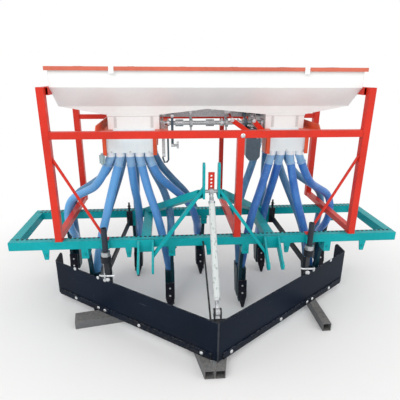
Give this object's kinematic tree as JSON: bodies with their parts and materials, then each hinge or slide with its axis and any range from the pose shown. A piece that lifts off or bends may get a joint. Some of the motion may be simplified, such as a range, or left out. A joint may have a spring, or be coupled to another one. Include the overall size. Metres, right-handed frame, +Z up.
{
  "type": "seed fertilizer drill",
  "caption": "Tractor-mounted drill with a two-part seed and fertilizer hopper, hoses to staggered tines, a three-point hitch and a V-shaped levelling blade.",
  "frame": {"origin": "centre of the bounding box's footprint, on the ground", "axes": "+X to the drill's right as seen from the hitch, +Y from the hitch to the back, +Z up"},
  "size_m": [2.286, 1.285, 1.4804],
  "materials": {
    "frame_teal": "gloss",
    "stand_red": "gloss",
    "hopper_white": "gloss",
    "lid_orange": "satin",
    "blade_dark": "satin",
    "meter_pale": "satin",
    "guard_slate": "satin",
    "bright_steel": "satin",
    "shovel_steel": "satin",
    "link_white": "satin",
    "hose_blue": "satin",
    "sleeve_clear": "satin",
    "support_grey": "satin"
  },
  "bodies": {
    "drill": {"adjuster_bar": "stand_red", "blade_stays": "blade_dark", "blade_straps": "blade_dark", "blade_strips": "blade_dark", "blade_wing_left": "blade_dark", "blade_wing_right": "blade_dark", "boots": "frame_teal", "bottom_rails": "stand_red", "brace_rods": "stand_red", "centre_rod": "bright_steel", "chain_guard": "guard_slate", "cross_rails": "stand_red", "cups": "meter_pale", "end_members": "frame_teal", "feed_hood": "bright_steel", "fertilizer_hoses": "hose_blue", "floor_supports": "support_grey", "front_bar": "stand_red", "front_beam": "frame_teal", "front_posts": "stand_red", "hanger_collars": "bright_steel", "hanger_cradles": "frame_teal", "hanger_pipes": "blade_dark", "hanger_sleeves": "blade_dark", "hitch_brackets": "frame_teal", "hitch_channels": "frame_teal", "hopper_divider": "hopper_white", "hopper_ends": "hopper_white", "hopper_floors": "hopper_white", "hopper_walls": "hopper_white", "hose_sleeves": "sleeve_clear", "lid_hinges": "lid_orange", "link_eyes": "bright_steel", "link_pins": "bright_steel", "mast_front_legs": "frame_teal", "mast_lugs": "frame_teal", "mast_rear_braces": "frame_teal", "meter_side_plates": "stand_red", "metering_boxes": "hopper_white", "meters": "meter_pale", "rear_bar": "stand_red", "rear_beam": "frame_teal", "rear_posts": "stand_red", "row_clamps": "frame_teal", "seed_hoses": "hose_blue", "shaft_bearings": "bright_steel", "shovels": "shovel_steel", "tine_shanks": "frame_teal", "top_rails": "stand_red", "turnbuckle": "link_white", "turnbuckle_clevis": "link_white"},
    "hopper_lid": {"lid": "lid_orange", "lid_fittings": "lid_orange"},
    "feed_shaft": {"feed_shaft": "bright_steel", "drive_sprocket": "bright_steel"}
  },
  "joints": [
    {"name": "lid_hinge", "type": "hinge", "parent": "drill", "child": "hopper_lid", "pos_m": [0, 0.5985, 1.4534], "axis": [-1, 0, 0], "range_deg": [0, 100]},
    {"name": "feed_shaft_turn", "type": "hinge", "parent": "drill", "child": "feed_shaft", "pos_m": [0, 0.1195, 1.172], "axis": [1, 0, 0], "continuous": true}
  ]
}
